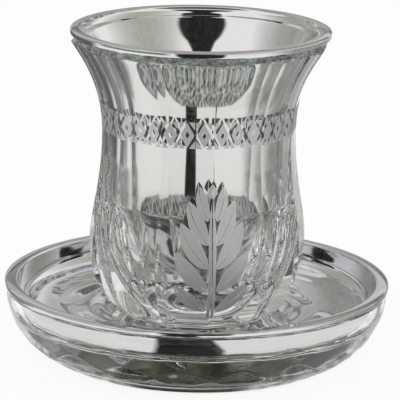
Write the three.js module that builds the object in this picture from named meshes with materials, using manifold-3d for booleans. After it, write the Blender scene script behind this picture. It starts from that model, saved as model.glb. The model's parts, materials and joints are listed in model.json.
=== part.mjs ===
// A stemless cup and its saucer. Each is a clear glass body with a thin polished steel liner,
// and the liner's rolled lip sits on the glass rim over a ring of clear bonding compound.
// Lengths are in millimetres. +Z is up, the foot of the saucer stands on z = 0, and the cup
// stands in the middle of the saucer.

import * as THREE from 'three';
import { mergeVertices } from 'three/addons/utils/BufferGeometryUtils.js';
import Module from 'manifold-3d';

const wasm = await Module();
wasm.setup();

// Sizes that both vessels share
const linerThickness = 0.6;
const linerGap = 0.3;
const lipEdge = 0.3;
const cutOverrun = 5;

// Saucer
const saucerLipRadius = 62.5;
const saucerLipWidth = 4.2;
const saucerLipHeight = 1.9;
const saucerRimHeight = 22.2;
const saucerRimOverhang = 0.5;
const saucerBondHeight = 0.5;
const saucerBondInset = 0.8;
const saucerFloorHeight = 14.5;
const saucerFloorRise = 0.5;
const saucerWallRun = 9;
const saucerFootRadius = 45.8;
const saucerFootRingWidth = 7;
const saucerFootRecess = 2;
const facetsPerRow = 20;
const facetTurnShare = 5 / 360;

// Cup, with heights measured from its own base
const cupPanels = 12;
const cupPanelTurnShare = 8 / 360;
const cupBaseRadius = 26;
const cupBaseBevel = 0.8;
const cupSeatMargin = 2.5;
const cupBellyRadius = 35.3;
const cupBellyHeight = 24;
const cupWaistRadius = 31.5;
const cupWaistHeight = 59;
const cupWaistWall = 1.9;
const cupRimRadius = 41.7;
const cupRimHeight = 89.5;
const cupRimWall = 3.2;
const cupBondHeight = 1.3;
const cupBondInset = 0.3;
const cupLipRadius = 41.8;
const cupLipHeight = 2;
const bowlFloorHeight = 6.7;
const bowlFloorRadius = 6;
const bowlShoulderHeight = 38;
const bowlShoulderInset = 0.3;

// Fineness of the curves
const curveSteps = 6;
const lipSteps = 3;
const roundSegments = 40;
const facetBlankSegments = 3 * facetsPerRow;

// Where the pulls of each curve lie, as shares of the stretch between its two ends
const heelShares = { leave: [0.57, 0.13], reach: [1, 0.48] };
const hipShares = { leave: [0, 0.23], reach: [1, 0.54] };
const flareShares = { leave: [0, 0.53], reach: [0.7, 0.83] };
const bowlShares = { leave: [0.5, 0], reach: [0.95, 0.41] };
const saucerSideShares = { leave: [0.54, 0.16], reach: [1.02, 0.47] };
const dishWallShares = { leave: [0.8, 0], reach: [1, 0.3] };
const lipOuterShares = { leave: [0, 0.8], reach: [0.5, 1] };
const lipInnerShares = { leave: [0.6, 0], reach: [1, 0.4] };
const lipBandShare = 0.4;
const lipCrownShares = { saucer: 0.85, cup: 0.5 };
const facetRowShares = [0.51, 0.68, 0.82];

const finishes = {
  crystal: { color: 0xdfe8e2, roughness: 0.03, metalness: 0, transparent: true, opacity: 0.45 },
  steel: { color: 0xc9cacc, roughness: 0.08, metalness: 1 },
  bond: { color: 0x7f8a80, roughness: 0.5, metalness: 0 },
};

// Outlines are lists of points, with the radius as x and the height as y

function point(radius, height) {
  return new THREE.Vector2(radius, height);
}

function curveBetween(start, end, shares) {
  const pull = ([across, up]) => point(
    start.x + (end.x - start.x) * across,
    start.y + (end.y - start.y) * up,
  );
  return new THREE.CubicBezierCurve(start, pull(shares.leave), pull(shares.reach), end);
}

function bend(start, end, shares, steps = curveSteps) {
  return curveBetween(start, end, shares).getPoints(steps);
}

// Joins stretches of an outline, without the point that two of them share
function join(...stretches) {
  const points = [];
  for (const next of stretches.flat()) {
    const last = points[points.length - 1];
    if (!last || !last.equals(next)) {
      points.push(next);
    }
  }
  return points;
}

// An outline that starts on the axis, moved by a distance to its left as it runs
function inset(outline, distance) {
  return outline.map((here, i) => {
    const before = outline[Math.max(i - 1, 0)];
    const after = outline[Math.min(i + 1, outline.length - 1)];
    const along = after.clone().sub(before).normalize();
    const radius = i === 0 ? 0 : here.x - along.y * distance;
    return point(radius, here.y + along.x * distance);
  });
}

// The place where an outline that climbs reaches a height
function placeAt(outline, height) {
  const i = outline.findIndex((here, k) => k > 0 && here.y >= height);
  const before = outline[i - 1];
  const after = outline[i];
  return before.clone().lerp(after, (height - before.y) / (after.y - before.y));
}

function upTo(outline, height) {
  return [...outline.filter((here) => here.y < height), placeAt(outline, height)];
}

// A body of revolution about +Z, whose outline runs anticlockwise as seen with the radius to the
// right. The first segment starts a share of a turn to the right of the front.
function revolve(outline, segments, turnShare = 0) {
  const geometry = new THREE.LatheGeometry(outline, segments);
  geometry.rotateX(Math.PI / 2);
  geometry.rotateZ(2 * Math.PI * turnShare);
  return toSolid(geometry);
}

function toSolid(geometry) {
  geometry.deleteAttribute('normal');
  geometry.deleteAttribute('uv');
  const merged = mergeVertices(geometry);
  const corners = merged.index.array;
  const kept = [];
  for (let i = 0; i < corners.length; i += 3) {
    const [a, b, c] = corners.slice(i, i + 3);
    if (a !== b && b !== c && c !== a) {
      kept.push(a, b, c);
    }
  }
  return new wasm.Manifold(new wasm.Mesh({
    numProp: 3,
    vertProperties: new Float32Array(merged.attributes.position.array),
    triVerts: new Uint32Array(kept),
  }));
}

function piece(name, solid, finish) {
  const { vertProperties, triVerts } = solid.getMesh();
  const geometry = new THREE.BufferGeometry();
  geometry.setAttribute('position', new THREE.BufferAttribute(vertProperties, 3));
  geometry.setIndex(new THREE.BufferAttribute(triVerts, 1));
  geometry.computeVertexNormals();
  const mesh = new THREE.Mesh(geometry, new THREE.MeshStandardMaterial(finishes[finish]));
  mesh.name = name;
  return mesh;
}

// What is cut out of a glass body for its liner: everything above the hollow's outline
function hollowCutter(hollow) {
  const mouth = hollow[hollow.length - 1];
  const above = mouth.y + cutOverrun;
  return revolve(join(hollow, [point(mouth.x, above), point(0, above)]), roundSegments);
}

function bondRing(hollow, outerRadius, bottom, top) {
  const innerRadius = placeAt(hollow, top).x;
  const outline = [
    point(innerRadius, bottom),
    point(outerRadius, bottom),
    point(outerRadius, top),
    point(innerRadius, top),
    point(innerRadius, bottom),
  ];
  return revolve(outline, roundSegments);
}

// A thin liner along a hollow. Its lip stands on the bond ring, with a short upright band outside,
// a rounded top whose crown lies nearer the inside, and a rounded fall into the liner.
function liner(hollow, lipRadius, bottom, top, crownShare) {
  const back = upTo(inset(hollow, linerGap), bottom);
  const fallHeight = bottom + (top - bottom) * (1 - lipBandShare);
  const face = upTo(inset(hollow, linerGap + linerThickness), fallHeight);
  const fallEnd = face[face.length - 1];
  const crown = point(lipRadius + (fallEnd.x - lipRadius) * crownShare, top);
  const bandTop = point(lipRadius, bottom + (top - bottom) * lipBandShare);
  const outline = join(
    back,
    [point(lipRadius - lipEdge, bottom), point(lipRadius, bottom + lipEdge)],
    bend(bandTop, crown, lipOuterShares, lipSteps),
    bend(crown, fallEnd, lipInnerShares, lipSteps),
    face.reverse(),
  );
  return revolve(outline, roundSegments);
}

// Saucer

const saucerBondTop = saucerRimHeight + saucerBondHeight;
const saucerTop = saucerBondTop + saucerLipHeight;
const saucerRimRadius = saucerLipRadius - saucerRimOverhang;

function saucerHollow() {
  const floor = saucerFloorHeight - linerThickness - linerGap;
  const mouthRadius = saucerLipRadius - saucerLipWidth + linerThickness + linerGap;
  const floorEdge = point(saucerLipRadius - saucerWallRun, floor + saucerFloorRise);
  return join(
    [point(0, floor), point(cupBaseRadius + cupSeatMargin, floor)],
    bend(floorEdge, point(mouthRadius, saucerTop), dishWallShares),
  );
}

// The flat facets stand in staggered rows. Each lies so deep that it meets its two neighbours
// in a corner on the round side.
function facetCutters(side) {
  const depthShare = 1 - Math.cos(Math.PI / facetsPerRow);
  const cutters = [];
  facetRowShares.forEach((share, row) => {
    const place = side.getPoint(share);
    const along = side.getTangent(share);
    const stagger = row % 2 === 0 ? 0.5 : 0;
    for (let i = 0; i < facetsPerRow; i += 1) {
      const angle = 2 * Math.PI * (facetTurnShare + (i + stagger) / facetsPerRow) - Math.PI / 2;
      const across = new THREE.Vector3(-Math.sin(angle), Math.cos(angle), 0);
      const outward = new THREE.Vector3(
        along.y * Math.cos(angle),
        along.y * Math.sin(angle),
        -along.x,
      );
      const onSide = new THREE.Vector3(
        place.x * Math.cos(angle),
        place.x * Math.sin(angle),
        place.y,
      );
      const shift = cutOverrun / 2 - along.y * place.x * depthShare;
      const turned = new THREE.Matrix4().makeBasis(across, outward.clone().cross(across), outward);
      turned.setPosition(onSide.addScaledVector(outward, shift));
      const slab = new THREE.BoxGeometry(saucerFootRadius, saucerFootRadius, cutOverrun);
      cutters.push(toSolid(slab.applyMatrix4(turned)));
    }
  });
  return cutters;
}

function saucerGlass(hollow) {
  const foot = point(saucerFootRadius, 0);
  const rim = point(saucerRimRadius, saucerRimHeight);
  const side = curveBetween(foot, rim, saucerSideShares);
  const ringInside = saucerFootRadius - saucerFootRingWidth;
  const blank = join(
    [point(0, saucerFootRecess), point(ringInside - saucerFootRecess, saucerFootRecess)],
    [point(ringInside, 0)],
    side.getPoints(2 * curveSteps),
    [point(0, saucerRimHeight)],
  );
  let body = revolve(blank, facetBlankSegments, facetTurnShare);
  for (const cutter of facetCutters(side)) {
    body = body.subtract(cutter);
  }
  return body.subtract(hollowCutter(hollow));
}

function saucer() {
  const hollow = saucerHollow();
  const bondRadius = saucerRimRadius - saucerBondInset;
  const bond = bondRing(hollow, bondRadius, saucerRimHeight, saucerBondTop);
  const dish = liner(hollow, saucerLipRadius, saucerBondTop, saucerTop, lipCrownShares.saucer);
  const group = new THREE.Group();
  group.add(piece('saucer_glass', saucerGlass(hollow), 'crystal'));
  group.add(piece('saucer_bond', bond, 'bond'));
  group.add(piece('saucer_liner', dish, 'steel'));
  return group;
}

// Cup

const cupBondTop = cupRimHeight + cupBondHeight;
const cupTop = cupBondTop + cupLipHeight;
const panelFlatShare = Math.cos(Math.PI / cupPanels);

// A panel's middle lies nearer the axis than its corners, and the walls are measured there
function cupHollow() {
  const waistBore = cupWaistRadius * panelFlatShare - cupWaistWall;
  const rimBore = cupRimRadius * panelFlatShare - cupRimWall;
  const floor = point(bowlFloorRadius, bowlFloorHeight);
  const shoulder = point(waistBore - bowlShoulderInset, bowlShoulderHeight);
  const waist = point(waistBore, cupWaistHeight);
  const rim = point(rimBore, cupRimHeight);
  const flare = bend(waist, rim, flareShares);
  const slope = rim.clone().sub(flare[flare.length - 2]);
  const mouth = rim.clone().addScaledVector(slope, (cupTop - cupRimHeight) / slope.y);
  return join(
    [point(0, bowlFloorHeight)],
    bend(floor, shoulder, bowlShares, 2 * curveSteps),
    flare,
    [mouth],
  );
}

function cupGlass(hollow) {
  const heel = point(cupBaseRadius, cupBaseBevel);
  const belly = point(cupBellyRadius, cupBellyHeight);
  const waist = point(cupWaistRadius, cupWaistHeight);
  const rim = point(cupRimRadius, cupRimHeight);
  const blank = join(
    [point(0, 0), point(cupBaseRadius - cupBaseBevel, 0)],
    bend(heel, belly, heelShares),
    bend(belly, waist, hipShares),
    bend(waist, rim, flareShares),
    [point(0, cupRimHeight)],
  );
  return revolve(blank, cupPanels, cupPanelTurnShare).subtract(hollowCutter(hollow));
}

function cup() {
  const hollow = cupHollow();
  const bondRadius = cupRimRadius * panelFlatShare - cupBondInset;
  const group = new THREE.Group();
  const bond = bondRing(hollow, bondRadius, cupRimHeight, cupBondTop);
  const bowl = liner(hollow, cupLipRadius, cupBondTop, cupTop, lipCrownShares.cup);
  group.add(piece('cup_glass', cupGlass(hollow), 'crystal'));
  group.add(piece('cup_bond', bond, 'bond'));
  group.add(piece('cup_liner', bowl, 'steel'));
  group.position.z = saucerFloorHeight;
  return group;
}

const cupAndSaucer = new THREE.Group();
cupAndSaucer.add(saucer(), cup());

export default cupAndSaucer;
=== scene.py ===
import json
import math

import bmesh
import bpy
from mathutils import Matrix, Vector
from mathutils.geometry import interpolate_bezier

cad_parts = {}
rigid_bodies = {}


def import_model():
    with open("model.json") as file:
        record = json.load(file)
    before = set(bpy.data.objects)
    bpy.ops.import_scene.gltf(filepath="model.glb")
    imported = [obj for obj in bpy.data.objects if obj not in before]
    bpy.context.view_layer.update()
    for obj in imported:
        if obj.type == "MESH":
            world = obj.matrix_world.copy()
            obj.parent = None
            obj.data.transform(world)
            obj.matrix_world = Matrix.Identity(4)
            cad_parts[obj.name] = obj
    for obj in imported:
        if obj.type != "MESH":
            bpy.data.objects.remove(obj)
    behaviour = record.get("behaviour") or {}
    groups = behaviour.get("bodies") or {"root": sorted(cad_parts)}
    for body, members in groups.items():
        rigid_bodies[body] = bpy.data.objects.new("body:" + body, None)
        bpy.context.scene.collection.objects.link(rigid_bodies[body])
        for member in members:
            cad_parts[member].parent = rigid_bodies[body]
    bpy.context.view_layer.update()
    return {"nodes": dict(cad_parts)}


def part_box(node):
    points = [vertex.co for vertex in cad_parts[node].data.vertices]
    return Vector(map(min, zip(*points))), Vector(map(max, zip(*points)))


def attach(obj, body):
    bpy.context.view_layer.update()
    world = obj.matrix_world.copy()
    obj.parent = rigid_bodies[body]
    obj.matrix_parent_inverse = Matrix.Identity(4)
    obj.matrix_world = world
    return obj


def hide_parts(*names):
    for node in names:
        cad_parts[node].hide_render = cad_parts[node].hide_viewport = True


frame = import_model()
print("frame loaded:", ", ".join(sorted(frame["nodes"])))

fullTurn = 2 * math.pi
weld = 1e-6       # vertices closer than this are merged
seedSize = 1e-3   # the plane that an outline starts from

shared = {
    "linerThickness": 0.0006,
    "linerGap": 0.0003,
    "roundSteps": 256,
    "lipSteps": 12,
    "smoothAngle": 30,
}


# Outlines are lists of points in the XZ plane: x is the radius and z the height

def spot(radius, height):
    return Vector((radius, 0, height))


def between(start, end, across, up):
    return spot(start.x + (end.x - start.x) * across, start.z + (end.z - start.z) * up)


def bend(start, end, pulls, steps):
    leave, reach = (between(start, end, *pull) for pull in pulls)
    return interpolate_bezier(start, leave, reach, end, steps + 1)


def joined(*stretches):
    points = []
    for point in (p for stretch in stretches for p in stretch):
        if not points or (point - points[-1]).length > weld:
            points.append(point)
    return points


def inset(outline, distance):     # to the left of the way it runs
    moved = []
    for i, point in enumerate(outline):
        before, after = outline[max(i - 1, 0)], outline[min(i + 1, len(outline) - 1)]
        along = (after - before).normalized()
        radius = point.x - along.z * distance if i else 0
        moved.append(spot(radius, point.z + along.x * distance))
    return moved


def placeAt(outline, height):
    i = next(k for k, point in enumerate(outline) if k and point.z >= height)
    before, after = outline[i - 1], outline[i]
    return before.lerp(after, (height - before.z) / (after.z - before.z))


def upTo(outline, height):
    return [p for p in outline if p.z < height] + [placeAt(outline, height)]


def raised(outline, height):
    return [point + spot(0, height) for point in outline]


# Drawing in edit mode

def startPiece(name):
    bpy.ops.object.select_all(action="DESELECT")
    bpy.ops.mesh.primitive_plane_add(size=seedSize)
    piece = bpy.context.object
    piece.name = name
    piece.data.name = name
    bpy.ops.object.mode_set(mode="EDIT")
    bpy.ops.mesh.select_mode(type="VERT")
    return piece


def drawOutline(outline, turn=0):     # the selected plane shrinks to the outline's first point
    turned = [Matrix.Rotation(turn, 3, "Z") @ point for point in outline]
    bpy.ops.mesh.merge(type="CENTER")
    bpy.ops.transform.translate(value=turned[0])
    for here, there in zip(turned, turned[1:]):
        bpy.ops.mesh.extrude_region_move(TRANSFORM_OT_translate={"value": there - here})
    bpy.ops.mesh.select_linked()


def spinRound(steps):
    bpy.ops.mesh.spin(steps=steps, angle=fullTurn, center=(0, 0, 0), axis=(0, 0, 1))
    bpy.ops.mesh.select_all(action="SELECT")
    bpy.ops.mesh.remove_doubles(threshold=weld)


def pick(piece, kind, wanted):     # selects the edges or faces that pass a test, and no others
    bpy.ops.mesh.select_mode(type=kind.upper())
    bpy.ops.mesh.select_all(action="DESELECT")
    mesh = bmesh.from_edit_mesh(piece.data)
    elements = {"edge": mesh.edges, "face": mesh.faces}[kind]
    for element in elements:
        if wanted(element):
            element.select_set(True)
    bmesh.update_edit_mesh(piece.data)


def closeUp(piece):
    bpy.ops.mesh.select_mode(type="VERT")
    bpy.ops.mesh.select_all(action="SELECT")
    bpy.ops.mesh.remove_doubles(threshold=weld)
    bpy.ops.mesh.normals_make_consistent(inside=False)
    bpy.ops.object.mode_set(mode="OBJECT")
    bpy.ops.object.shade_smooth_by_angle(angle=math.radians(shared["smoothAngle"]))
    return piece


def revolved(name, outline):
    piece = startPiece(name)
    drawOutline(outline)
    spinRound(shared["roundSteps"])
    return closeUp(piece)


def dress(piece, finish, body, node):
    piece.data.materials.clear()
    piece.data.materials.append(finish)
    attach(piece, body)
    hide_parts(node)
    print("made:", piece.name, len(piece.data.polygons), "faces")


# Materials

class Wire:     # one output socket, and the sums that can be made of it
    def __init__(self, finish, socket):
        self.finish = finish
        self.socket = socket

    def __add__(self, other):
        return self.finish.maths("ADD", self, other)

    def __sub__(self, other):
        return self.finish.maths("SUBTRACT", self, other)

    def __rsub__(self, other):
        return self.finish.maths("SUBTRACT", other, self)

    def __mul__(self, other):
        return self.finish.maths("MULTIPLY", self, other)

    __radd__ = __add__
    __rmul__ = __mul__


class Finish:     # a node tree that is put together node by node
    def __init__(self, tree):
        self.tree = tree
        tree.nodes.clear()

    def node(self, kind, settings=None, values=None, out=0):
        made = self.tree.nodes.new(kind)
        for name, value in (settings or {}).items():
            if name == "stops":
                self.setStops(made.color_ramp.elements, value)
            else:
                setattr(made, name, value)
        for name, value in (values or {}).items():
            if isinstance(value, Wire):
                self.tree.links.new(value.socket, made.inputs[name])
            else:
                made.inputs[name].default_value = value
        return Wire(self, made.outputs[out]) if made.outputs else None

    def setStops(self, elements, stops):
        while len(elements) < len(stops):
            elements.new(1)
        for element, (place, grey) in zip(elements, stops):
            element.position = place
            element.color = (grey, grey, grey, 1)

    def maths(self, operation, *terms):
        return self.node("ShaderNodeMath", {"operation": operation}, dict(enumerate(terms)))

    def mix(self, share, low, high):     # a mix node's colour sockets are its seventh and eighth
        return self.node("ShaderNodeMix", {"data_type": "RGBA"}, {0: share, 6: low, 7: high}, out=2)

    def blend(self, first, second, share):     # of two numbers, with this share of the second
        return first * (1 - share) + second * share

    def step(self, value, start, end, height=1):     # a smooth rise from 0 to the height
        return self.node("ShaderNodeMapRange", {"interpolation_type": "SMOOTHSTEP"},
                         {"Value": value, "From Min": start, "From Max": end, "To Max": height})

    def noise(self, place, scale, detail):
        return self.node("ShaderNodeTexNoise", {}, {"Vector": place, "Scale": scale, "Detail": detail})

    def place(self, stretch=(1, 1, 1)):
        place = self.node("ShaderNodeTexCoord", out="Object")
        return self.node("ShaderNodeMapping", {}, {"Vector": place, "Scale": stretch})

    def length(self, place):
        return self.node("ShaderNodeVectorMath", {"operation": "LENGTH"}, {0: place}, out="Value")

    def bump(self, height, strength, distance, under=None):
        values = {"Height": height, "Strength": strength, "Distance": distance}
        if under:
            values["Normal"] = under
        return self.node("ShaderNodeBump", {}, values)

    def surface(self, shader):
        self.node("ShaderNodeOutputMaterial", {}, {"Surface": shader})


def newFinish(name):
    material = bpy.data.materials.new(name)
    material.use_nodes = True
    return material, Finish(material.node_tree)


crystalLook = {
    "tint": (0.980, 0.989, 0.974, 1),
    "cloudTint": (0.965, 0.980, 0.958, 1),
    "deepTint": (0.875, 0.893, 0.868, 1),
    "saucerDepths": (0.024, 0.014),     # heights between which the tint deepens, downwards
    "saucerShare": 0.35,
    "cupDepths": (0.062, 0.050),
    "cupShare": 1,
    "refraction": 1.52,
    "roughness": 0.02,
    "tintScale": 60,
    "waveStretch": (1, 1, 0.5),
    "waveScale": 90,
    "waveStrength": 0.3,
    "waveDepth": 0.000005,
}


def crystalFinish(name, depths, share):
    look = crystalLook
    material, made = newFinish(name)
    cloud = made.noise(made.place(), look["tintScale"], detail=2)
    wave = made.noise(made.place(look["waveStretch"]), look["waveScale"], detail=2)
    height = made.node("ShaderNodeSeparateXYZ", {}, {0: made.place()}, out="Z")
    deep = made.step(height, *depths, share)
    clear = made.mix(cloud, look["tint"], look["cloudTint"])
    made.surface(made.node("ShaderNodeBsdfPrincipled", {}, {
        "Base Color": made.mix(deep, clear, look["deepTint"]),
        "Roughness": cloud * look["roughness"],
        "IOR": look["refraction"],
        "Transmission Weight": 1,
        "Normal": made.bump(wave, look["waveStrength"], look["waveDepth"]),
    }))
    return material


steelLook = {
    "light": (0.80, 0.80, 0.79, 1),
    "dark": (0.70, 0.70, 0.69, 1),
    "lineStretch": (0.02, 0.02, 1),
    "lineScale": 900,
    "lineShare": 0.5,
    "lineStrength": 0.2,
    "lineDepth": 0.000004,
    "cloudScale": 35,
    "roughness": 0.035,
    "roughnessSpread": 0.05,
}

dishLook = {
    "light": (0.82, 0.815, 0.83, 1),
    "dark": (0.66, 0.66, 0.675, 1),
    "swirlStretch": (0.22, 0.22, 0),     # how much the rings change on the way round
    "swirlScale": 62,
    "swirlMiddle": 0.5,                  # the noise swings about this
    "swirlDepth": 0.0075,
    "swirlStart": (0.027, 0.032),        # the radii between which they set in
    "swirlReach": (0.0555, 0.0575),      # and those between which they die out
}


def dishSwirls(made, under):
    look = dishLook
    radius = made.length(made.place((1, 1, 0)))
    away = made.place(look["swirlStretch"])
    ring = made.node("ShaderNodeCombineXYZ", {}, {"Z": radius})
    place = made.node("ShaderNodeVectorMath", {"operation": "ADD"}, {0: away, 1: ring})
    wave = made.noise(place, look["swirlScale"], detail=1)
    risen, fallen = (made.step(radius, *reach) for reach in (look["swirlStart"], look["swirlReach"]))
    swirl = (wave - look["swirlMiddle"]) * risen * (1 - fallen)
    return made.bump(swirl, 1, look["swirlDepth"], under)


def steelFinish(name, light, dark, swirls=None):
    look = steelLook
    material, made = newFinish(name)
    lines = made.noise(made.place(look["lineStretch"]), look["lineScale"], detail=2)
    cloud = made.noise(made.place(), look["cloudScale"], detail=3)
    grain = made.bump(lines, look["lineStrength"], look["lineDepth"])
    made.surface(made.node("ShaderNodeBsdfPrincipled", {}, {
        "Base Color": made.mix(made.blend(cloud, lines, look["lineShare"]), light, dark),
        "Metallic": 1,
        "Roughness": cloud * look["roughnessSpread"] + look["roughness"],
        "Normal": swirls(made, grain) if swirls else grain,
    }))
    return material


bondLook = {
    "light": (0.34, 0.38, 0.34, 1),
    "dark": (0.05, 0.07, 0.06, 1),
    "speckStretch": (1, 1, 1.6),
    "speckScale": 900,
    "speckStrength": 0.6,
    "speckDepth": 0.0002,
    "cloudScale": 220,
    "cloudShare": 0.4,
    "patchStops": ((0.4, 0), (0.62, 1)),
    "roughness": 0.25,
    "roughnessSpread": 0.3,
}


def bondFinish():
    look = bondLook
    material, made = newFinish("bond")
    speck = made.noise(made.place(look["speckStretch"]), look["speckScale"], detail=4)
    cloud = made.noise(made.place(), look["cloudScale"], detail=2)
    mottle = made.blend(speck, cloud, look["cloudShare"])
    patch = made.node("ShaderNodeValToRGB", {"stops": look["patchStops"]}, {"Fac": mottle})
    made.surface(made.node("ShaderNodeBsdfPrincipled", {}, {
        "Base Color": made.mix(patch, look["dark"], look["light"]),
        "Roughness": cloud * look["roughnessSpread"] + look["roughness"],
        "Normal": made.bump(speck, look["speckStrength"], look["speckDepth"]),
    }))
    return material


frostLook = {
    "light": (0.60, 0.61, 0.60, 1),
    "dark": (0.50, 0.51, 0.50, 1),
    # the edges' lighter colour is a painted highlight along the etched shapes
    "edge": (0.72, 0.73, 0.72, 1),
    "grainScale": 1800,
    "grainStrength": 0.5,
    "grainDepth": 0.00002,
    "cloudScale": 160,
    "cloudShare": 0.5,
    "roughness": 0.42,
    "roughnessSpread": 0.2,
    "metal": 0.75,
}


def frostFinish(name, light, dark):
    look = frostLook
    material, made = newFinish(name)
    grain = made.noise(made.place(), look["grainScale"], detail=3)
    cloud = made.noise(made.place(), look["cloudScale"], detail=2)
    made.surface(made.node("ShaderNodeBsdfPrincipled", {}, {
        "Base Color": made.mix(made.blend(grain, cloud, look["cloudShare"]), light, dark),
        "Metallic": look["metal"],
        "Roughness": cloud * look["roughnessSpread"] + look["roughness"],
        "Normal": made.bump(grain, look["grainStrength"], look["grainDepth"]),
    }))
    return material


saucerCrystal = crystalFinish("saucerCrystal", crystalLook["saucerDepths"], crystalLook["saucerShare"])
cupCrystal = crystalFinish("cupCrystal", crystalLook["cupDepths"], crystalLook["cupShare"])
steel = steelFinish("steel", steelLook["light"], steelLook["dark"])
dishSteel = steelFinish("dishSteel", dishLook["light"], dishLook["dark"], dishSwirls)
bond = bondFinish()
frost = frostFinish("frost", frostLook["light"], frostLook["dark"])
# The edge finish is lighter: a painted highlight along the etched shapes
frostEdgeHighlight = frostFinish("frostEdgeHighlight", frostLook["edge"], frostLook["edge"])
print("finishes made")


# Saucer

saucerShape = {
    "lipWidth": 0.0042,
    "lipHeight": 0.0019,
    "rimOverhang": 0.0005,
    "bondHeight": 0.0005,
    "bondInset": 0.0008,
    "floorRise": 0.0005,
    "wallRun": 0.009,
    "seatRadius": 0.0285,
    "footRadius": 0.0458,
    "footRingWidth": 0.007,
    "footRecess": 0.002,
    "footEdge": 0.0004,
    "sidePulls": ((0.54, 0.16), (1.02, 0.47)),
    "sideSteps": 36,
    "traceSteps": 400,
    "wallPulls": ((0.8, 0), (1, 0.3)),
    "wallSteps": 24,
    "crownShare": 0.85,
    "facets": 20,
    "facetTurn": 5,
    "facetRows": (0.51, 0.68, 0.82),
    # how much of a facet's full cut shows, from the foot up: height, share
    "facetDepths": ((0.0, 0.9), (0.0065, 0.9), (0.010, 0.65), (0.016, 0.3), (0.0222, 0.12)),
    "fineSteps": 480,
    "fineSideSteps": 90,
}

lipShape = {
    "outer": ((0, 0.8), (0.5, 1)),
    "inner": ((0.6, 0), (1, 0.4)),
    "bandShare": 0.75,
    "edge": 0.0003,
    "saucerFall": 0.00114,     # how far under the top the roll runs on, inside
    "cupFall": 0.0034,
}

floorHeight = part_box("cup_glass")[0].z
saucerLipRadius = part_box("saucer_liner")[1].x
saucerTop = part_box("saucer_liner")[1].z
saucerBondTop = saucerTop - saucerShape["lipHeight"]
saucerRimHeight = saucerBondTop - saucerShape["bondHeight"]
saucerRimRadius = saucerLipRadius - saucerShape["rimOverhang"]


def saucerHollow():
    shape = saucerShape
    wall = shared["linerThickness"] + shared["linerGap"]
    floor = floorHeight - wall
    mouth = spot(saucerLipRadius - shape["lipWidth"] + wall, saucerTop)
    floorEdge = spot(saucerLipRadius - shape["wallRun"], floor + shape["floorRise"])
    return joined(
        [spot(0, floor), spot(shape["seatRadius"], floor)],
        bend(floorEdge, mouth, shape["wallPulls"], shape["wallSteps"]),
    )


def linerOutline(hollow, lipRadius, bottom, top, crownShare, fall):
    back = upTo(inset(hollow, shared["linerGap"]), bottom)
    face = upTo(inset(hollow, shared["linerGap"] + shared["linerThickness"]), top - fall)
    crown = spot(lipRadius + (face[-1].x - lipRadius) * crownShare, top)
    bandTop = spot(lipRadius, bottom + (top - bottom) * lipShape["bandShare"])
    edge = lipShape["edge"]
    return joined(
        back,
        [spot(lipRadius - edge, bottom), spot(lipRadius, bottom + edge)],
        bend(bandTop, crown, lipShape["outer"], shared["lipSteps"]),
        bend(crown, face[-1], lipShape["inner"], shared["lipSteps"]),
        reversed(face),
    )


def bondOutline(hollow, outerRadius, bottom, top):
    innerRadius = placeAt(hollow, top).x
    corners = [(innerRadius, bottom), (outerRadius, bottom), (outerRadius, top), (innerRadius, top)]
    return [spot(*corner) for corner in corners + corners[:1]]


def saucerSide(steps):
    foot = spot(saucerShape["footRadius"], 0)
    rim = spot(saucerRimRadius, saucerRimHeight)
    return bend(foot, rim, saucerShape["sidePulls"], steps)


def facetPlanes():     # each facet's middle and its outward direction
    shape = saucerShape
    side = saucerSide(shape["traceSteps"])
    for row, share in enumerate(shape["facetRows"]):
        i = round(share * shape["traceSteps"])
        along = (side[i + 1] - side[i - 1]).normalized()
        outward = spot(along.z, -along.x)
        depth = side[i].x * (1 - math.cos(math.pi / shape["facets"])) * along.z
        middle = side[i] - outward * depth
        stagger = 0.5 if row % 2 == 0 else 0     # half a facet
        for k in range(shape["facets"]):
            angle = math.radians(shape["facetTurn"]) + fullTurn * (k + stagger) / shape["facets"]
            turn = Matrix.Rotation(angle - math.pi / 2, 3, "Z")
            yield turn @ middle, turn @ outward


def saucerOutline(side):
    shape = saucerShape
    ringInside = shape["footRadius"] - shape["footRingWidth"]
    recess = shape["footRecess"]
    return joined(
        [spot(0, recess), spot(ringInside - recess, recess), spot(ringInside, 0)],
        [spot(shape["footRadius"] - shape["footEdge"], 0)],
        side[1:],
        reversed(upTo(saucerHollow(), saucerRimHeight)),
    )


def makeCutBlank():     # the saucer with its facets cut to their full depth
    blank = startPiece("cutBlank")
    drawOutline(saucerOutline(saucerSide(saucerShape["sideSteps"])))
    spinRound(shared["roundSteps"])
    bpy.ops.mesh.normals_make_consistent(inside=False)
    for middle, outward in facetPlanes():
        bpy.ops.mesh.select_all(action="SELECT")
        bpy.ops.mesh.bisect(plane_co=middle, plane_no=outward, use_fill=True, clear_outer=True)
    return closeUp(blank)


def facetDepth(height):
    depths = saucerShape["facetDepths"]
    for (low, lowShare), (high, highShare) in zip(depths, depths[1:]):
        if height <= high:
            return lowShare + (highShare - lowShare) * (height - low) / (high - low)
    return 0


def makeSaucerGlass():
    blank = makeCutBlank()
    piece = startPiece("saucerGlass")
    side = saucerSide(saucerShape["fineSideSteps"])
    drawOutline(saucerOutline(side))
    spinRound(saucerShape["fineSteps"])
    closeUp(piece)
    cut = piece.vertex_groups.new(name="cut")
    for vert in piece.data.vertices:
        outer = placeAt(side, max(vert.co.z, weld)).x if 0 < vert.co.z < saucerRimHeight else 0
        if vert.co.xy.length > outer - 2 * weld > 0:
            cut.add([vert.index], facetDepth(vert.co.z), "REPLACE")
    bpy.ops.object.modifier_add(type="SHRINKWRAP")
    wrap = piece.modifiers[-1]
    wrap.target = blank
    wrap.wrap_method = "PROJECT"
    wrap.use_negative_direction = True
    wrap.use_positive_direction = False
    wrap.vertex_group = cut.name
    bpy.ops.object.modifier_apply(modifier=wrap.name)
    piece.vertex_groups.clear()
    bpy.data.objects.remove(blank)
    dress(piece, saucerCrystal, "saucer", "saucer_glass")


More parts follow.
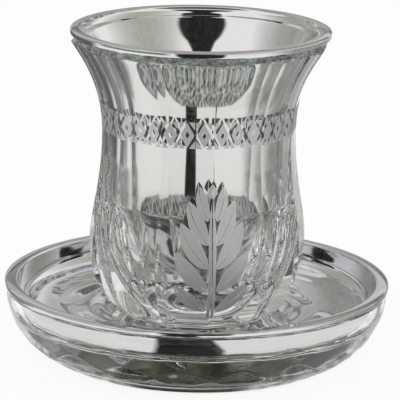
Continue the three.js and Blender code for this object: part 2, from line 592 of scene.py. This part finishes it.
makeSaucerGlass()
saucerLiner = revolved("saucerLiner", linerOutline(
    saucerHollow(), saucerLipRadius, saucerBondTop, saucerTop,
    saucerShape["crownShare"], lipShape["saucerFall"]))
dress(saucerLiner, dishSteel, "saucer", "saucer_liner")
saucerBond = revolved("saucerBond", bondOutline(
    saucerHollow(), saucerRimRadius - saucerShape["bondInset"], saucerRimHeight, saucerBondTop))
dress(saucerBond, bond, "saucer", "saucer_bond")
print("saucer made")


# Cup, with heights measured from its own base

cupShape = {
    "panels": 12,
    "panelTurn": 8,
    "cornerBevel": 0.0003,
    "cornerSegments": 3,
    "baseRadius": 0.026,
    "baseBevel": 0.0008,
    "baseLift": 0.00005,
    "bellyRadius": 0.0353,
    "bellyHeight": 0.024,
    "waistRadius": 0.0315,
    "waistHeight": 0.059,
    "waistWall": 0.0019,
    "rimRadius": 0.0417,
    "rimWall": 0.0032,
    "bondHeight": 0.002,
    "bondInset": 0.0003,
    "lipHeight": 0.002,
    "bowlFloorHeight": 0.0067,
    "bowlFloorRadius": 0.006,
    "bowlShoulderHeight": 0.038,
    "bowlShoulderInset": 0.0003,
    "heelPulls": ((0.57, 0.13), (1, 0.48)),
    "hipPulls": ((0, 0.23), (1, 0.54)),
    "flarePulls": ((0, 0.53), (0.7, 0.83)),
    "bowlPulls": ((0.5, 0), (0.95, 0.41)),
    "crownShare": 0.5,
    "curveSteps": 24,
}

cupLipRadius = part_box("cup_liner")[1].x
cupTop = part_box("cup_liner")[1].z - floorHeight
cupBondTop = cupTop - cupShape["lipHeight"]
cupRimHeight = cupBondTop - cupShape["bondHeight"]
panelFlat = math.cos(math.pi / cupShape["panels"])     # a panel's middle against its corners


def cupHollow():
    shape = cupShape
    steps = shape["curveSteps"]
    waistBore = shape["waistRadius"] * panelFlat - shape["waistWall"]
    rimBore = shape["rimRadius"] * panelFlat - shape["rimWall"]
    floor = spot(shape["bowlFloorRadius"], shape["bowlFloorHeight"])
    shoulder = spot(waistBore - shape["bowlShoulderInset"], shape["bowlShoulderHeight"])
    waist = spot(waistBore, shape["waistHeight"])
    rim = spot(rimBore, cupRimHeight)
    flare = bend(waist, rim, shape["flarePulls"], steps)
    slope = rim - flare[-2]
    mouth = rim + slope * ((cupTop - cupRimHeight) / slope.z)
    return joined(
        [spot(0, shape["bowlFloorHeight"])],
        bend(floor, shoulder, shape["bowlPulls"], 2 * steps),
        flare,
        [mouth],
    )


def cupSide():     # the corner line between two panels
    shape = cupShape
    steps = shape["curveSteps"]
    heel = spot(shape["baseRadius"], shape["baseBevel"])
    belly = spot(shape["bellyRadius"], shape["bellyHeight"])
    waist = spot(shape["waistRadius"], shape["waistHeight"])
    rim = spot(shape["rimRadius"], cupRimHeight)
    return joined(
        bend(heel, belly, shape["heelPulls"], steps),
        bend(belly, waist, shape["hipPulls"], steps),
        bend(waist, rim, shape["flarePulls"], steps),
    )


def isCorner(edge):     # an upright edge between two panels
    low, high = sorted((vert.co for vert in edge.verts), key=lambda co: co.z)
    angles = [math.atan2(co.y, co.x) for co in (low, high)]
    return low.xy.length > weld and high.z - low.z > weld and abs(angles[0] - angles[1]) < weld


def makeCupGlass():
    shape = cupShape
    lift = shape["baseLift"]
    outside = joined([spot(0, lift), spot(shape["baseRadius"] - shape["baseBevel"], lift)], cupSide())
    turn = math.radians(shape["panelTurn"]) - math.pi / 2
    piece = startPiece("cupGlass")
    drawOutline(raised(outside, floorHeight), turn)
    spinRound(shape["panels"])
    pick(piece, "edge", isCorner)
    bpy.ops.mesh.bevel(offset=shape["cornerBevel"], segments=shape["cornerSegments"], affect="EDGES")
    bpy.ops.mesh.select_mode(type="VERT")
    bpy.ops.mesh.select_all(action="DESELECT")
    bpy.ops.mesh.primitive_plane_add(size=seedSize)
    drawOutline(raised(upTo(cupHollow(), cupRimHeight), floorHeight))
    bpy.ops.mesh.spin(steps=shared["roundSteps"], angle=fullTurn, center=(0, 0, 0), axis=(0, 0, 1))
    bpy.ops.mesh.select_all(action="SELECT")
    bpy.ops.mesh.remove_doubles(threshold=weld)
    pick(piece, "edge", lambda edge: edge.is_boundary)
    bpy.ops.mesh.fill()
    closeUp(piece)
    bpy.ops.object.modifier_add(type="WEIGHTED_NORMAL")
    piece.modifiers[-1].keep_sharp = True
    bpy.ops.object.modifier_apply(modifier=piece.modifiers[-1].name)
    dress(piece, cupCrystal, "cup", "cup_glass")


makeCupGlass()
cupLiner = revolved("cupLiner", raised(linerOutline(
    cupHollow(), cupLipRadius, cupBondTop, cupTop, cupShape["crownShare"], lipShape["cupFall"]), floorHeight))
dress(cupLiner, steel, "cup", "cup_liner")
cupBondRadius = cupShape["rimRadius"] * panelFlat - cupShape["bondInset"]
cupBond = revolved("cupBond", raised(
    bondOutline(cupHollow(), cupBondRadius, cupRimHeight, cupBondTop), floorHeight))
dress(cupBond, bond, "cup", "cup_bond")
print("cup made")


# Frosted frieze and sprig: drawn flat in front of one panel, then laid on the glass

frostShape = {
    "drawDepth": -0.06,
    "edgeWidth": 0.00012,
    "rowHeight": 0.0015,
    "standoff": 0.00003,
    "thickness": 0.00005,
    "cornerGap": 0.0002,
}

friezeShape = {
    "low": 0.0747,
    "high": 0.0833,
    "cells": 3,
    "pitch": 0.0053,
    "ring": (0.0022, 0.0041),
    "ringWidth": 0.00135,
    "wedge": (0.0019, 0.0026),
}

sprigShape = {
    "corner": 8,
    "stem": (0.0200, 0.0585),
    "stemWidth": 0.0010,
    "stemTaper": 0.01,     # the length over which its end thins out
    "stemSteps": 24,
    "ribGap": 0.0002,
    "ribPulls": ((0, 0.35), (0.02, 0.7)),
    # height on the stem, lean from upright, length
    "leaves": ((0.0225, 62, 0.0130), (0.0295, 52, 0.0160), (0.0370, 44, 0.0165), (0.0445, 37, 0.0148),
               (0.0520, 27, 0.0112)),
    "leafSides": (((-0.28, 0.24), (-0.10, 0.80)), ((0.16, 0.10), (0.34, 0.66))),
    "leafLean": 0.20,
    "leafSteps": 18,
    "berries": ((0.0262, 0.0102), (0.0338, 0.0116), (0.0410, 0.0112), (0.0478, 0.0092)),
    "berryRadius": 0.0009,
    "berrySides": 20,
    "budGap": 0.0006,
    "bud": ((0, 0), (-0.0016, 0.0016), (-0.0012, 0.0030), (0, 0.0046)),
}


def onDrawing(points):
    return [point + Vector((0, frostShape["drawDepth"], 0)) for point in points]


def addShape(points):     # a flat face with these corners
    bpy.ops.mesh.select_all(action="DESELECT")
    bpy.ops.mesh.primitive_plane_add(size=seedSize)
    drawOutline(onDrawing(points))
    bpy.ops.mesh.edge_face_add()


def startDrawing(name):
    piece = startPiece(name)
    bpy.ops.mesh.delete(type="VERT")
    return piece


def diamond(middle, halfWidth, halfHeight):
    sides = ((-halfWidth, 0), (0, halfHeight), (halfWidth, 0), (0, -halfHeight))
    return [middle + spot(*side) for side in sides]


def finishDrawing(piece, low, high):     # a painted highlight along the edges, rows that can follow the glass, faces to the front
    piece.data.materials.append(frost)
    piece.data.materials.append(frostEdgeHighlight)
    bpy.ops.mesh.select_mode(type="FACE")
    bpy.ops.mesh.select_all(action="SELECT")
    # A lighter rim round every shape: a painted highlight along its edge
    bpy.ops.mesh.inset(thickness=frostShape["edgeWidth"], use_even_offset=True)
    bpy.ops.mesh.select_all(action="INVERT")
    piece.active_material_index = 1
    bpy.ops.object.material_slot_assign()
    height = low + frostShape["rowHeight"]
    while height < high:
        bpy.ops.mesh.select_all(action="SELECT")
        bpy.ops.mesh.bisect(plane_co=(0, 0, height), plane_no=(0, 0, 1))
        height += frostShape["rowHeight"]
    pick(piece, "face", lambda face: face.normal.y > 0)
    bpy.ops.mesh.flip_normals()
    bpy.ops.object.mode_set(mode="OBJECT")


def turnedCopy(piece, angle, mirrored=False):
    copy = piece.copy()
    copy.data = piece.data.copy()
    bpy.context.scene.collection.objects.link(copy)
    if mirrored:
        copy.data.transform(Matrix.Scale(-1, 4, (1, 0, 0)))
        copy.data.flip_normals()
    copy.data.transform(Matrix.Rotation(math.radians(angle), 4, "Z"))
    return copy


def layOnGlass(copies, name):
    bpy.ops.object.select_all(action="DESELECT")
    for copy in copies:
        copy.select_set(True)
    piece = bpy.context.view_layer.objects.active = copies[0]
    bpy.ops.object.join()
    piece.name = name
    piece.data.name = name
    bpy.ops.object.modifier_add(type="SHRINKWRAP")
    wrap = piece.modifiers[-1]
    wrap.target = bpy.data.objects["cupGlass"]
    wrap.wrap_method = "PROJECT"
    wrap.wrap_mode = "ABOVE_SURFACE"
    wrap.use_negative_direction = True
    wrap.use_positive_direction = True
    wrap.offset = frostShape["standoff"]
    bpy.ops.object.modifier_apply(modifier=wrap.name)
    bpy.ops.object.modifier_add(type="SOLIDIFY")
    wall = piece.modifiers[-1]
    wall.thickness = frostShape["thickness"]
    wall.offset = 1
    bpy.ops.object.modifier_apply(modifier=wall.name)
    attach(piece, "cup")
    print("made:", name, len(piece.data.polygons), "faces")


def makeFrieze():
    shape = friezeShape
    drawing = startDrawing("friezeDrawing")
    low, high = shape["low"], shape["high"]
    height = (low + high) / 2
    for cell in range(shape["cells"]):
        middle = spot((cell - (shape["cells"] - 1) / 2) * shape["pitch"], height)
        addShape(diamond(middle, *shape["ring"]))
        bpy.ops.mesh.inset(thickness=shape["ringWidth"])
        bpy.ops.mesh.delete(type="FACE")
        across, up = shape["wedge"]
        edge = shape["pitch"] / 2 - frostShape["cornerGap"]
        for side in (-1, 1):
            for end, turn in ((low, 1), (high, -1)):
                corner = spot(middle.x + side * edge, end)
                addShape([corner, corner + spot(-side * across, 0), corner + spot(0, turn * up)])
    finishDrawing(drawing, low, high)
    panels = cupShape["panels"]
    first = cupShape["panelTurn"] + 180 / panels
    layOnGlass([turnedCopy(drawing, first + 360 * k / panels) for k in range(panels)], "frieze")
    bpy.data.objects.remove(drawing)


def cornerLine(height):     # how far a panel's corner stands from its middle line, seen face on
    return placeAt(raised(cupSide(), floorHeight), height).x * math.sin(math.pi / cupShape["panels"])


def makeLeafHalf(side, root, lean, length):
    tip = spot(sprigShape["leafLean"], 1)
    outer, rib = (
        interpolate_bezier(spot(0, 0), spot(*leave), spot(*reach), tip, sprigShape["leafSteps"])
        for leave, reach in (sprigShape["leafSides"][side], sprigShape["ribPulls"]))
    gap = sprigShape["ribGap"] / length / 2 * (-1 if side == 0 else 1)
    inner = [point + spot(gap, 0) for point in rib[1:-1]]
    turn = Matrix.Rotation(math.radians(-lean), 3, "Y")
    points = [root + turn @ (point * length) for point in joined(outer, reversed(inner))]
    addShape(points)


def makeSprig():
    shape = sprigShape
    drawing = startDrawing("sprigDrawing")
    low, high = shape["stem"]
    gap = frostShape["cornerGap"]
    steps = shape["stemSteps"]
    heights = [low + (high - low) * i / steps for i in range(steps + 1)]
    inner = [spot(cornerLine(height) - gap, height) for height in heights]
    widths = [shape["stemWidth"] * min(1, (high - height) / shape["stemTaper"]) for height in heights]
    outer = [point - spot(width, 0) for point, width in zip(inner[:-1], widths)]
    addShape(joined(inner, reversed(outer)))
    for height, lean, length in shape["leaves"]:
        root = spot(cornerLine(height) - gap - shape["stemWidth"] - shape["ribGap"], height)
        for side in (0, 1):
            makeLeafHalf(side, root, lean, length)
    budBase = spot(cornerLine(high) - gap, high + shape["budGap"])
    bud = [budBase + spot(*corner) for corner in shape["bud"]]
    addShape(bud)
    for height, away in shape["berries"]:
        middle = spot(cornerLine(height) - away, height)
        turns = [fullTurn * k / shape["berrySides"] for k in range(shape["berrySides"])]
        radius = shape["berryRadius"]
        addShape([middle + spot(math.cos(turn) * radius, math.sin(turn) * radius) for turn in turns])
    finishDrawing(drawing, low, bud[-1].z)
    half = 180 / cupShape["panels"]
    layOnGlass([turnedCopy(drawing, shape["corner"] - half),
                turnedCopy(drawing, shape["corner"] + half, mirrored=True)], "sprig")
    bpy.data.objects.remove(drawing)


makeFrieze()
makeSprig()
print("frieze and sprig made")


# Camera, floor and light

cameraPlace = {
    "distance": 0.86555,
    "height": 0.27335,
    "pitch": 14.44,
    "yaw": 0.04,
    "roll": 1.08,
    "lens": 248.2,
    "sensor": 36,
}


def placeCamera():
    lens = bpy.data.cameras.new("camera")
    lens.lens = cameraPlace["lens"]
    lens.sensor_width = cameraPlace["sensor"]
    camera = bpy.data.objects.new("camera", lens)
    bpy.context.scene.collection.objects.link(camera)
    pitch, yaw, roll = (math.radians(cameraPlace[name]) for name in ("pitch", "yaw", "roll"))
    camera.matrix_world = (
        Matrix.Translation((0, -cameraPlace["distance"], cameraPlace["height"]))
        @ Matrix.Rotation(-yaw, 4, "Z")
        @ Matrix.Rotation(math.pi / 2 - pitch, 4, "X")
        @ Matrix.Rotation(roll, 4, "Z")
    )
    bpy.context.scene.camera = camera


placeCamera()

studio = {
    "floorSize": 6,
    "floorDrop": 0.0001,
    "floorColour": (0.9, 0.9, 0.9, 1),
    "floorGlow": 0.92,
    # Painted shade on the floor under the saucer's foot: its dark colour, and the radii over which it gives
    # way to the plain floor and its glow
    "footShade": (0.20, 0.17, 0.13, 1),
    "footShadeReach": (0.040, 0.0475),
    "worldGlow": 0.75,
    "softboxSize": (0.9, 0.9),
    "softboxDistance": 1.1,
    "softboxes": (("left", -62, 28, 3.4), ("right", 52, 28, 3.0)),
    "cardSteps": 6,
    "cardClouds": 14,
    "cardColumns": 24,
    "cardStops": ((0.38, 0), (0.62, 1)),
    "bounces": 24,
    "glossyBounces": 16,
}

# Cards glow with their own greys, whatever light falls on them, and are hidden from the camera, from soft
# light and from shadows: they are painted reflections of the surroundings, seen only in metal and through
# glass.
# A card's rows run outwards and then up: distance, height, left and right azimuth
cards = {
    "frontGap": {"greys": (0.016, 0.035), "sideFade": 0.3, "endFade": 0.01, "rows": (
        (0.054, 0.0005, -31, 27), (0.0604, 0.0005, -29, 25), (0.0625, 0.0005, -17, 12),
        (0.075, 0.0005, -17, 12), (0.130, 0.0005, -19, 4), (0.500, 0.0005, -15, 0), (0.700, 0.0005, -20, 20),
        (1.2, 0.0005, -22, 22), (1.2, 0.14, -23, 23), (1.2, 0.52, -22, 22), (1.2, 0.66, -10, 10),
        (1.2, 0.87, -15, 13), (1.2, 1.04, -20, 19), (1.2, 1.16, -28, 27), (1.2, 1.43, -40, 38),
        (1.2, 2.1, -52, 50))},
    "frontMottle": {"greys": (0.03, 0.7), "sideFade": 0.1, "endFade": 0.06, "rim": 3,
                    "stretch": (1.7, 1.7, 1), "rows": (
        (0.074, 0.014, -74, 82), (0.088, 0.014, -71, 79), (0.101, 0.014, -60, 67), (0.114, 0.014, -26, 32))},
    "leftNear": {"greys": (0.2, 0.34), "sideFade": 0.5, "endFade": 0.2, "rows": (
        (0.078, 0.014, -190, -76), (0.147, 0.014, -180, -86))},
    "rightNear": {"greys": (0.26, 0.42), "sideFade": 0.5, "endFade": 0.2, "rows": (
        (0.078, 0.014, 76, 150), (0.147, 0.014, 66, 140))},
    # underFront and underSides lie just over the floor under the saucer: painted shade under its front,
    # painted light under the rest, seen through the glass and in the steel.
    "underFront": {"greys": (0.014, 0.05), "warmth": 0.75, "sideFade": 0.6, "endFade": 0.02, "rows": (
        (0, -0.00005, -34, 30), (0.052, -0.00005, -30, 24))},
    "underSides": {"greys": (0.42, 1.1), "sideFade": 0.2, "endFade": 0.02, "rows": (
        (0, -0.00006, 10, 350), (0.060, -0.00006, 10, 350))},
    "lowBack": {"greys": (0.025, 0.08), "warmth": 0.75, "sideFade": 0.6, "endFade": 0.02, "rows": (
        (0.056, 0.0005, 165, 195), (0.07, 0.0005, 165, 195), (0.07, 0.0225, 165, 195))},
    "lowBackSides": {"greys": (0.24, 0.75), "sideFade": 0.3, "endFade": 0.02, "rows": (
        (0.056, 0.0004, 132, 228), (0.071, 0.0004, 132, 228), (0.071, 0.0225, 132, 228))},
    "leftSide": {"greys": (0.10, 0.18), "sideFade": 0.5, "endFade": 0.01, "rows": (
        (0.12, 0.0005, -180, -96), (1.4, 0.0005, -170, -98), (1.4, 0.12, -170, -98))},
    "rightSide": {"greys": (0.32, 0.42), "sideFade": 0.8, "endFade": 0.01, "rows": (
        (0.12, 0.0005, 58, 170), (1.4, 0.0005, 58, 165), (1.4, 0.12, 58, 165))},
    "leftLow": {"greys": (0.20, 0.30), "sideFade": 0.4, "endFade": 0.1, "rows": (
        (1.4, -0.05, -100, -24), (1.4, 0.26, -100, -24))},
    "rightSky": {"greys": (0.42, 0.50), "warmth": 0.86, "sideFade": 1.1, "endFade": 0.2, "rows": (
        (1.4, 0.1, 18, 124), (1.4, 1.7, 22, 124))},
    "ceiling": {"greys": (0.06, 0.16), "sideFade": 0.001, "endFade": 0.5, "rows": (
        (-0.95, 2.1, -90, 90), (0.95, 2.1, -90, 90))},
    "leftSky": {"greys": (0.38, 0.46), "warmth": 0.92, "sideFade": 1.0, "endFade": 0.2, "rows": (
        (1.4, 0.1, -172, -66), (1.4, 1.5, -172, -66))},
    "back": {"greys": (0.08, 0.75), "sideFade": 0.5, "endFade": 0.2, "stretch": (0.15, 0.15, 2), "rows": (
        (1.4, 0.14, 140, 220), (1.4, 1.2, 130, 230), (1.4, 2.4, 125, 235))},
}


def seenDirectly(made):     # 1 for the camera and for what metal and glass show, 0 for soft light
    kinds = ("Is Camera Ray", "Is Glossy Ray", "Is Transmission Ray")
    camera, glossy, through = (made.node("ShaderNodeLightPath", out=kind) for kind in kinds)
    return made.maths("MINIMUM", camera + glossy + through, 1)


def makeFloor():
    bpy.ops.object.select_all(action="DESELECT")
    bpy.ops.mesh.primitive_plane_add(size=studio["floorSize"], location=(0, 0, -studio["floorDrop"]))
    floor = bpy.context.object
    floor.name = "floor"
    material, made = newFinish("floorPaper")
    # Painted shade: inside the foot's radius the floor is coloured dark brown and does not glow, so metal and
    # glass show a dark floor there
    away = made.step(made.length(made.place()), *studio["footShadeReach"])
    colour = made.mix(away, studio["footShade"], studio["floorColour"])
    paper = made.node("ShaderNodeBsdfDiffuse", {}, {"Color": colour})
    glow = made.node("ShaderNodeEmission", {}, {"Color": (1, 1, 1, 1), "Strength": 1})
    share = seenDirectly(made) * away * studio["floorGlow"]
    made.surface(made.node("ShaderNodeMixShader", {}, {0: share, 1: paper, 2: glow}))
    floor.data.materials.append(material)


def makeWorld():
    world = bpy.data.worlds.new("studio")
    world.use_nodes = True
    bpy.context.scene.world = world
    made = Finish(world.node_tree)
    strength = seenDirectly(made) * (1 - studio["worldGlow"]) + studio["worldGlow"]
    sky = made.node("ShaderNodeBackground", {}, {"Color": (1, 1, 1, 1), "Strength": strength})
    made.node("ShaderNodeOutputWorld", {}, {"Surface": sky})


def makeSoftbox(name, azimuth, elevation, power):     # azimuth 0 is the front, and 90 is +X
    light = bpy.data.lights.new(name, "AREA")
    light.shape = "RECTANGLE"
    light.size, light.size_y = studio["softboxSize"]
    light.energy = power
    softbox = bpy.data.objects.new(name, light)
    softbox.visible_glossy = softbox.visible_transmission = False
    turn, rise = math.radians(azimuth), math.radians(elevation)
    away = Vector((math.sin(turn) * math.cos(rise), -math.cos(turn) * math.cos(rise), math.sin(rise)))
    softbox.location = away * studio["softboxDistance"]
    softbox.rotation_euler = away.to_track_quat("Z", "Y").to_euler()
    bpy.context.scene.collection.objects.link(softbox)


def cardPlace(rows, across, up):     # up runs from 0 at the first row by 1 a row
    i = min(int(up), len(rows) - 2)
    distance, height, left, right = (
        low + (high - low) * (up - i) for low, high in zip(rows[i], rows[i + 1]))
    turn = math.radians(left + (right - left) * across)
    return Vector((math.sin(turn) * distance, -math.cos(turn) * distance, height))


def softEdge(made, share, soft):     # 0 at either edge, and 1 from a little way in
    return made.maths("MINIMUM", share * (1 - share) * (4 / soft), 1)


def makeCard(name, greys, sideFade, endFade, rows, stretch=(1, 1, 1), rim=0, warmth=0.97):
    bpy.ops.object.select_all(action="DESELECT")
    bpy.ops.mesh.primitive_grid_add(x_subdivisions=studio["cardColumns"],
                                    y_subdivisions=studio["cardSteps"] * (len(rows) - 1), size=1)
    card = bpy.context.object
    card.name = name
    for vert in card.data.vertices:
        vert.co = cardPlace(rows, vert.co.x + 0.5, (vert.co.y + 0.5) * (len(rows) - 1))
    material, made = newFinish(name)
    uv = made.node("ShaderNodeTexCoord", out="UV")
    across, up = (made.node("ShaderNodeSeparateXYZ", {}, {0: uv}, out=axis) for axis in "XY")
    fade = softEdge(made, across, sideFade) * softEdge(made, up, endFade)
    reach = rows[-1][0]
    cloud = made.noise(made.place(stretch), studio["cardClouds"] / reach, detail=3)
    patch = made.node("ShaderNodeValToRGB", {"stops": studio["cardStops"]}, {"Fac": cloud})
    dark, light = ((grey, grey, grey * warmth, 1) for grey in greys)
    clear = made.node("ShaderNodeBsdfTransparent")
    colour = made.mix(patch, dark, light)
    if rim:     # a dark line runs along the edges
        inside = softEdge(made, across, sideFade * rim) * softEdge(made, up, endFade * rim)
        colour = made.mix(inside * inside, dark, colour)
    # Painted reflection: the card glows at strength 1 with its greys and is seen only by metal and glass.
    cardGlow = made.node("ShaderNodeEmission", {}, {"Color": colour, "Strength": 1})
    made.surface(made.node("ShaderNodeMixShader", {}, {0: fade, 1: clear, 2: cardGlow}))
    card.data.materials.append(material)
    card.visible_camera = card.visible_shadow = card.visible_diffuse = False


makeFloor()
makeWorld()
for softbox in studio["softboxes"]:
    makeSoftbox(*softbox)
for name, card in cards.items():
    makeCard(name, **card)

scene = bpy.context.scene
scene.view_settings.view_transform = "Standard"
scene.cycles.max_bounces = studio["bounces"]
scene.cycles.glossy_bounces = studio["glossyBounces"]
scene.cycles.transmission_bounces = studio["bounces"]
print("studio made")
